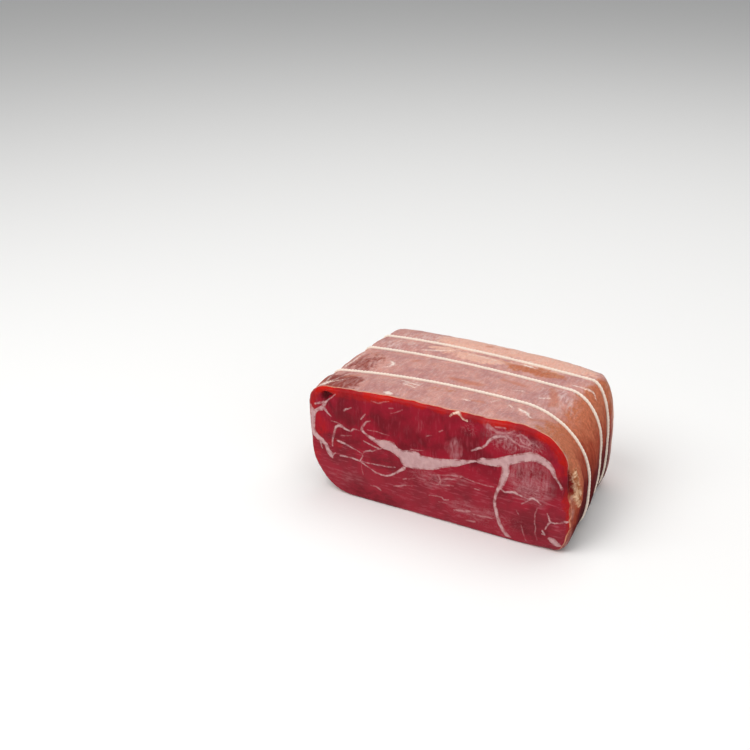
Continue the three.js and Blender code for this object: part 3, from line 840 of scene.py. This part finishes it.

# The wet red band along the film, with an uneven inner edge, brighter towards the film and darker towards
# its inner edge: partly the lean's own tone, partly painted shade along the inside of the rim.
edge_noise = add(tree, "MapRange", {0: patch, 1: 0.3, 2: 0.7, 3: -1.6, 4: 1.6}).outputs[0]
band_edge = add(tree, "Math", {0: layer["band"], 1: edge_noise}, operation="ADD").outputs[0]
red_band = add(tree, "MapRange", {0: band_edge, 1: -1, 2: 2}, interpolation_type="SMOOTHSTEP").outputs[0]
wetness = add(tree, "MapRange", {0: cloud, 1: 0.36, 2: 0.58, 3: 0.95, 4: 0.4}).outputs[0]
red_band = add(tree, "Math", {0: red_band, 1: wetness}, operation="MULTIPLY").outputs[0]
# deep darkens the band towards its inner edge, partly as painted shade
deep = add(tree, "MapRange", {0: band_edge, 1: 6.5, 2: 0.5, 3: 0.1, 4: 1}).outputs[0]
deep = add(tree, "Math", {0: deep, 1: grain}, operation="MULTIPLY").outputs[0]
band_tone = {0: deep, 6: linear("#c91f12"), 7: linear("#780c12")}
band_tone = add(tree, "Mix", band_tone, data_type="RGBA").outputs[2]
colour = add(tree, "Mix", {0: red_band, 6: colour, 7: band_tone}, data_type="RGBA").outputs[2]

# Curly threads of fat in the mottled zones, and the streaks and seams themselves with a ragged edge
curly = add(tree, "TexNoise", {"Vector": in_mm, "Scale": 1 / CURLY_FAT, "Detail": 4, "Distortion": 2.2})
thread = add(tree, "Math", {0: curly.outputs[0], 1: 0.5}, operation="SUBTRACT").outputs[0]
thread = add(tree, "Math", {0: thread}, operation="ABSOLUTE").outputs[0]
thread = add(tree, "MapRange", {0: thread, 1: 0.05, 2: 0.0, 4: 0.5}).outputs[0]
thread = add(tree, "Math", {0: thread, 1: layer["mottle"]}, operation="MULTIPLY").outputs[0]
colour = add(tree, "Mix", {0: thread, 6: colour, 7: linear("#c08a8c")}, data_type="RGBA").outputs[2]
ragged = add(tree, "MapRange", {0: grain, 1: 0.25, 2: 0.75, 3: -0.25, 4: 0.25}).outputs[0]
worn = add(tree, "MapRange", {0: patch, 1: 0.36, 2: 0.56, 3: 0.3, 4: 1}).outputs[0]
fat_tone = add(tree, "MapRange", {0: patch, 1: 0.15, 2: 0.8}).outputs[0]
fat_tone = {0: fat_tone, 6: linear("#b58989"), 7: linear("#d4afae")}
fat_tone = add(tree, "Mix", fat_tone, data_type="RGBA").outputs[2]
marbling = (("streak", linear("#cfa0a0"), 0.5), ("fat", fat_tone, 0.95), ("curl", linear("#f0d2bc"), 1))
for name, tone, strength in marbling:
    edge = add(tree, "Math", {0: layer[name], 1: ragged}, operation="ADD").outputs[0]
    mask = {0: edge, 1: -0.5, 2: 0.4, 4: strength}
    mask = add(tree, "MapRange", mask, interpolation_type="SMOOTHSTEP").outputs[0]
    firm = add(tree, "MapRange", {0: layer[name], 1: 0.3, 2: 1.3}).outputs[0]
    firm = add(tree, "Math", {0: firm, 1: worn}, operation="MAXIMUM").outputs[0]
    mask = add(tree, "Math", {0: mask, 1: firm}, operation="MULTIPLY").outputs[0]
    colour = add(tree, "Mix", {0: mask, 6: colour, 7: tone}, data_type="RGBA").outputs[2]
# The hollow and the crevice are painted dark, as the shade that falls in them
crevice = add(tree, "MapRange", {0: layer["crevice"], 1: -0.5, 2: 0.6}).outputs[0]
for share, tone in ((layer["pit"], "#4a0a0d"), (crevice, "#641519")):
    colour = add(tree, "Mix", {0: share, 6: colour, 7: linear(tone)}, data_type="RGBA").outputs[2]
dry = add(tree, "MapRange", {0: grain, 3: SATIN_CUT[0], 4: SATIN_CUT[1]}).outputs[0]
roughness = add(tree, "Mix", {0: red_band, 2: dry, 3: WET_CUT}).outputs[0]
bump_height = add(tree, "Math", {0: fibre, 1: grain}, operation="ADD").outputs[0]
bump = add(tree, "Bump", {"Height": bump_height, "Distance": 0.2 * MM, "Strength": 0.5}).outputs[0]
shader = add(tree, "BsdfPrincipled", {
    "Base Color": colour, "Roughness": roughness, "Normal": bump, "IOR": 1.45, "Specular IOR Level": 0.1,
    "Subsurface Weight": 0.12, "Subsurface Radius": (1.0, 0.3, 0.2), "Subsurface Scale": 1.5 * MM})
add(tree, "OutputMaterial", {"Surface": shader.outputs[0]})
ham_mesh.materials.append(cut_meat)

# The skin: dried meat and fat under a thin translucent film. The film gives the eye a greyish pink veil
# with a satin shine, partly painted as pale sheen, and below it show peach fat, rust and, down the sides,
# dark maroon lean, darkened further by painted shade. Sizes of its patterns are in mm.
SKIN_CLOUD = 13
SKIN_PATCH = 4.5
SKIN_GRAIN = 1.2
SCUFF = 2.2
BRUSH_MARK = 1.3
RUN_DOWN = 3
SATIN_FILM = (0.34, 0.52)
MATT_FLANK = 0.95
skin, tree = new_material("cured_skin_under_film")
place = add(tree, "TexCoord").outputs["Object"]
in_mm = add(tree, "VectorMath", {0: place, "Scale": 1 / MM}, operation="SCALE").outputs[0]
layer = {name: add(tree, "Attribute", attribute_name=name).outputs["Fac"] for name in layers}
cloud = add(tree, "TexNoise", {"Vector": in_mm, "Scale": 1 / SKIN_CLOUD, "Detail": 4, "Distortion": 0.6})
cloudy = add(tree, "MapRange", {0: cloud.outputs[0], 1: 0.32, 2: 0.68}).outputs[0]
patchy = add(tree, "TexNoise", {"Vector": in_mm, "Scale": 1 / SKIN_PATCH, "Detail": 4, "Distortion": 0.8})
patchy = patchy.outputs[0]
grain = add(tree, "TexNoise", {"Vector": in_mm, "Scale": 1 / SKIN_GRAIN, "Detail": 3, "Roughness": 0.65})
grain = grain.outputs[0]
scuff_way = add(tree, "Mapping", {0: in_mm, "Scale": (1, 0.3, 0.3), "Rotation": (0, 0, 0.6)}).outputs[0]
scuff = add(tree, "TexNoise", {"Vector": scuff_way, "Scale": 1 / SCUFF, "Detail": 4, "Roughness": 0.6})
scuff = scuff.outputs[0]
down_way = add(tree, "Mapping", {0: in_mm, "Scale": (1, 1, 0.15)}).outputs[0]
brushed = add(tree, "TexNoise", {"Vector": down_way, "Scale": 1 / BRUSH_MARK, "Detail": 3}).outputs[0]
brushed = add(tree, "MapRange", {0: brushed, 1: 0.35, 2: 0.65, 3: 0.84, 4: 1.14}).outputs[0]

# Pairs of tones for the film over lean, for peach, rust, the lump of fat and the crust, each with what
# mixes the two
creamy = add(tree, "MapRange", {0: patchy, 1: 0.4, 2: 0.6}).outputs[0]
TONES = {
    "film": (cloudy, "#b47e7a", "#cf968a"),
    "peach": (patchy, "#d79683", "#ecc0ac"),
    "rust": (patchy, "#ae563a", "#c88460"),
    "lump": (creamy, "#a8623f", "#e6bf9c"),
    "crust": (creamy, "#9c3c26", "#d8906e"),
}
tones = {
    name: add(tree, "Mix", {0: share, 6: linear(first), 7: linear(second)}, data_type="RGBA").outputs[2]
    for name, (share, first, second) in TONES.items()
}
tones["rust"] = add(tree, "VectorMath", {0: tones["rust"], "Scale": brushed}, operation="SCALE").outputs[0]
tones["ruddy"] = linear("#8f443c")
colour = tones["film"]
uneven = add(tree, "MapRange", {0: patchy, 1: 0.3, 2: 0.7, 3: -0.3, 4: 0.3}).outputs[0]
for name in ("peach", "rust", "ruddy"):
    there = add(tree, "Math", {0: layer[name], 1: uneven}, operation="ADD").outputs[0]
    mask = add(tree, "MapRange", {0: there, 1: 0.2, 2: 0.75}, interpolation_type="SMOOTHSTEP").outputs[0]
    colour = add(tree, "Mix", {0: mask, 6: colour, 7: tones[name]}, data_type="RGBA").outputs[2]
# The veil: pale scuffs of loose film, with painted sheen and reflection
veil_and_sheen = add(tree, "Math", {0: layer["veil_and_sheen"], 1: 0.7, 2: 0.3}, operation="MULTIPLY_ADD").outputs[0]
scuffed = add(tree, "MapRange", {0: scuff, 1: 0.45, 2: 0.68}).outputs[0]
veil_and_sheen = add(tree, "Math", {0: veil_and_sheen, 1: scuffed}, operation="MULTIPLY").outputs[0]
colour = add(tree, "Mix", {0: veil_and_sheen, 6: colour, 7: linear("#dcc0ba")}, data_type="RGBA").outputs[2]

# Down the sides the skin darkens from rust over brick red to maroon towards the base, with streaks that run
# down: partly the dried lean's own colour, partly painted shade. Each tone comes in between two heights in
# mm.
SIDE_TONES_AND_SHADE = (("#a04632", 84, 66), ("#64181a", 64, 48), ("#3e0a0d", 46, 26))
streaks = add(tree, "TexNoise", {"Vector": down_way, "Scale": 1 / RUN_DOWN, "Detail": 3}).outputs[0]
shifted = {0: streaks, 1: 22, 2: layer["side_height"]}
shifted = add(tree, "Math", shifted, operation="MULTIPLY_ADD").outputs[0]
side_tone = linear("#c27052")
for tone, above, below in SIDE_TONES_AND_SHADE:
    share = add(tree, "MapRange", {0: shifted, 1: above, 2: below}).outputs[0]
    side_tone = add(tree, "Mix", {0: share, 6: side_tone, 7: linear(tone)}, data_type="RGBA").outputs[2]
side_tone = add(tree, "VectorMath", {0: side_tone, "Scale": brushed}, operation="SCALE").outputs[0]
colour = add(tree, "Mix", {0: layer["flank"], 6: colour, 7: side_tone}, data_type="RGBA").outputs[2]

# The pale line of the film's edge, then the marks, each with its tone, its strength and how soft it ends
fine_edge = add(tree, "MapRange", {0: grain, 1: 0.25, 2: 0.75, 3: -0.7, 4: 0.7}).outputs[0]
edge_place = add(tree, "Math", {0: layer["past_edge"], 1: fine_edge}, operation="ADD").outputs[0]
edge_line = add(tree, "MapRange", {0: edge_place, 1: 1.1, 2: 0.2}).outputs[0]
dried = add(tree, "MapRange", {0: patchy, 1: 0.35, 2: 0.6, 3: 0.25, 4: 0.95}).outputs[0]
edge_line = add(tree, "Math", {0: edge_line, 1: dried}, operation="MULTIPLY").outputs[0]
colour = add(tree, "Mix", {0: edge_line, 6: colour, 7: linear("#e3a98e")}, data_type="RGBA").outputs[2]
# The creases and the crevice are painted dark as shade; the first pale mark is partly a painted highlight
marks = (
    ("crust", tones["crust"], 0.75, 1.2),
    ("rusty", linear("#bb6c4e"), 0.6, 1.8),
    ("pale", linear("#f0dcd0"), 0.9, 0.8),
    ("crease", linear("#85403a"), 0.7, 1.8),
    ("lump", tones["lump"], 1, 0.8),
    ("crevice", linear("#74100f"), 1, 0.8),
)
for name, tone, strength, soft in marks:
    there = add(tree, "Math", {0: layer[name], 1: fine_edge}, operation="ADD").outputs[0]
    mask = {0: there, 1: -soft, 2: soft, 4: strength}
    mask = add(tree, "MapRange", mask, interpolation_type="SMOOTHSTEP").outputs[0]
    colour = add(tree, "Mix", {0: mask, 6: colour, 7: tone}, data_type="RGBA").outputs[2]
speckle = add(tree, "MapRange", {0: grain, 1: 0.35, 2: 0.65, 3: 0.86, 4: 1.1}).outputs[0]
colour = add(tree, "VectorMath", {0: colour, "Scale": speckle}, operation="SCALE").outputs[0]
satin = add(tree, "MapRange", {0: patchy, 3: SATIN_FILM[0], 4: SATIN_FILM[1]}).outputs[0]
roughness = add(tree, "Mix", {0: layer["flank"], 2: satin, 3: MATT_FLANK}).outputs[0]
bump_height = add(tree, "Math", {0: scuff, 1: patchy}, operation="ADD").outputs[0]
bump = add(tree, "Bump", {"Height": bump_height, "Distance": 0.4 * MM, "Strength": 0.6}).outputs[0]
shader = add(tree, "BsdfPrincipled", {
    "Base Color": colour, "Roughness": roughness, "Normal": bump, "IOR": 1.45, "Specular IOR Level": 0.08,
    "Subsurface Weight": 0.12, "Subsurface Radius": (1.0, 0.35, 0.25), "Subsurface Scale": 2 * MM})
add(tree, "OutputMaterial", {"Surface": shader.outputs[0]})
ham_mesh.materials.append(skin)

# The twine: bleached cotton butcher's twine, three strands twisted together. It is matt and a warm white,
# and each loop is drawn tight round the block, so that it lies half sunk in the skin.
STRANDS = 3
STRAND_RADIUS = 0.64
STRAND_OFFSET = 0.58
TWIST_PITCH = 8.0
TWINE_STEP = 0.42
TWINE_SIDES = 18
COTTON_FIBRE = 0.22
LOOP_SAMPLES = 4000
UNEVEN_SHARE = 0.05
UNEVEN_WAVES = 41

cotton, tree = new_material("twisted_cotton_twine")
along = add(tree, "Attribute", attribute_name="along").outputs["Fac"]
about = add(tree, "Attribute", attribute_name="about").outputs["Fac"]
fine = add(tree, "CombineXYZ", {0: along, 1: about, 2: 0.0}).outputs[0]
# Cotton fibres are about 0.02 mm thick. They are drawn in bundles ten times as thick, to show at all.
fibre_way = add(tree, "Mapping", {0: fine, "Scale": (0.5, 1, 1), "Rotation": (0, 0, 0.5)}).outputs[0]
fibre = add(tree, "TexNoise", {"Vector": fibre_way, "Scale": 1 / COTTON_FIBRE, "Detail": 2}).outputs[0]
tone = add(tree, "Mix", {0: fibre, 6: linear("#f1dac7"), 7: linear("#fff4e6")}, data_type="RGBA").outputs[2]
bump = add(tree, "Bump", {"Height": fibre, "Distance": 0.15 * MM, "Strength": 0.6}).outputs[0]
shader = add(tree, "BsdfPrincipled", {
    "Base Color": tone, "Roughness": 0.85, "Normal": bump, "IOR": 1.5, "Specular IOR Level": 0.2,
    "Sheen Weight": 0.15, "Sheen Roughness": 0.5})
add(tree, "OutputMaterial", {"Surface": shader.outputs[0]})

for number, twine_y in enumerate(TWINE_Y, 1):
    # The loop's middle line, then the same at even steps along it
    fine_columns = np.linspace(0, len(SPANS), LOOP_SAMPLES, endpoint=False)
    level_y = np.full(len(fine_columns), float(twine_y))
    loop_place, _ = outline(fine_columns, level_y)
    line, outward = surface(fine_columns, level_y, rise=twine_height(loop_place[:, 1]))
    steps = np.linalg.norm(np.roll(line, -1, axis=0) - line, axis=1)
    travelled = np.concatenate([[0], np.cumsum(steps)])
    length = travelled[-1]
    turns = round(length / TWIST_PITCH)
    count = round(length / TWINE_STEP)
    spots = np.arange(count) * length / count
    closed, closed_out = np.vstack([line, line[:1]]), np.vstack([outward, outward[:1]])
    centre = np.stack([np.interp(spots, travelled, closed[:, axis]) for axis in range(3)], axis=-1)
    out = np.stack([np.interp(spots, travelled, closed_out[:, axis]) for axis in range(2)], axis=-1)
    out = np.stack([out[:, 0], 0 * spots, out[:, 1]], axis=-1)
    tangent = np.roll(centre, -1, axis=0) - np.roll(centre, 1, axis=0)
    tangent /= np.linalg.norm(tangent, axis=1, keepdims=True)
    side = np.cross(tangent, out)
    side /= np.linalg.norm(side, axis=1, keepdims=True)
    out = np.cross(side, tangent)
    angle = np.linspace(0, 2 * math.pi, TWINE_SIDES, endpoint=False)[None, :]
    twist = (spots / length * turns * 2 * math.pi)[:, None]
    radius = np.zeros((count, TWINE_SIDES))
    for strand in range(STRANDS):
        off = angle - twist - strand * 2 * math.pi / STRANDS
        reach = STRAND_RADIUS**2 - (STRAND_OFFSET * np.sin(off)) ** 2
        radius = np.maximum(radius, STRAND_OFFSET * np.cos(off) + np.sqrt(np.maximum(reach, 0)))
    radius *= 1 + UNEVEN_SHARE * np.sin(spots / length * 2 * math.pi * UNEVEN_WAVES + number)[:, None]
    loop = centre[:, None] + radius[..., None] * (
        np.cos(angle)[..., None] * out[:, None] + np.sin(angle)[..., None] * side[:, None])
    ring = np.arange(count * TWINE_SIDES).reshape(count, TWINE_SIDES)
    ahead, beside = np.roll(ring, -1, axis=0), np.roll(ring, -1, axis=1)
    quads = np.stack([ring, beside, np.roll(ahead, -1, axis=1), ahead], axis=-1).reshape(-1, 4)
    mesh = bpy.data.meshes.new(f"twine_loop_{number}")
    mesh.from_pydata(((loop.reshape(-1, 3) + BLOCK_TO_ROW) * MM).tolist(), [], quads.tolist())
    mesh.polygons.foreach_set("use_smooth", np.ones(len(quads), bool))
    along_values = np.broadcast_to(spots[:, None], ring.shape)
    about_values = radius * (angle - twist)
    for name, values in (("along", along_values), ("about", about_values)):
        attribute = mesh.attributes.new(name, "FLOAT", "POINT")
        attribute.data.foreach_set("value", values.astype(np.float32).ravel())
    mesh.materials.append(cotton)
    mesh.update()
    twine = bpy.data.objects.new(f"twine_loop_{number}", mesh)
    scene.collection.objects.link(twine)
    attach(twine, "root")
    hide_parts(f"twine_{number}")

# The floor and the light: a plain floor of pale matt paper, a broad soft light above the front left, a
# weaker one from the right, one from above and behind, and an even pale sky. These sizes are in metres.
FLOOR_SIZE = 6
floor_mesh = bpy.data.meshes.new("floor")
half = FLOOR_SIZE / 2
floor_corners = [(-half, -half, 0), (half, -half, 0), (half, half, 0), (-half, half, 0)]
floor_mesh.from_pydata(floor_corners, [], [(0, 1, 2, 3)])
floor = bpy.data.objects.new("floor", floor_mesh)
scene.collection.objects.link(floor)
paper, tree = new_material("pale_matt_paper")
shader = add(tree, "BsdfPrincipled", {
    "Base Color": linear("#fbfaf8"), "Roughness": 0.9, "Specular IOR Level": 0.1})
add(tree, "OutputMaterial", {"Surface": shader.outputs[0]})
floor_mesh.materials.append(paper)

LIGHTS = {
    "key": {"at": (-0.5, -0.9, 1.3), "size": 1.2, "power": 15},
    "fill": {"at": (1.2, -0.9, 0.8), "size": 1.2, "power": 5},
    "top": {"at": (0.1, 0.5, 1.6), "size": 1.4, "power": 11.5},
}
for name, light in LIGHTS.items():
    lamp = bpy.data.lights.new(name, "AREA")
    lamp.size = light["size"]
    lamp.energy = light["power"]
    lamp_object = bpy.data.objects.new(name, lamp)
    lamp_object.location = light["at"]
    lamp_object.rotation_euler = (-Vector(light["at"])).to_track_quat("-Z", "Y").to_euler()
    scene.collection.objects.link(lamp_object)
sky = bpy.data.worlds.new("pale_sky")
sky.use_nodes = True
sky.node_tree.nodes["Background"].inputs["Color"].default_value = linear("#f4f6f8")
sky.node_tree.nodes["Background"].inputs["Strength"].default_value = 0.33
scene.world = sky
scene.view_settings.view_transform = "Standard"

# The camera: the photograph's own view, from the right and a little above
CAMERA_PLACE = (0.33794, -0.75692, 0.45750)
CAMERA_AZIMUTH = math.radians(29.3)
CAMERA_ELEVATION = math.radians(24.4)
LENS = 60.43
SENSOR = 36
backward = Vector((
    math.sin(CAMERA_AZIMUTH) * math.cos(CAMERA_ELEVATION),
    -math.cos(CAMERA_AZIMUTH) * math.cos(CAMERA_ELEVATION),
    math.sin(CAMERA_ELEVATION),
))
camera_data = bpy.data.cameras.new("camera")
camera_data.lens = LENS
camera_data.sensor_width = SENSOR
camera = bpy.data.objects.new("camera", camera_data)
camera.location = CAMERA_PLACE
camera.rotation_euler = (-backward).to_track_quat("-Z", "Y").to_euler()
scene.collection.objects.link(camera)
scene.camera = camera
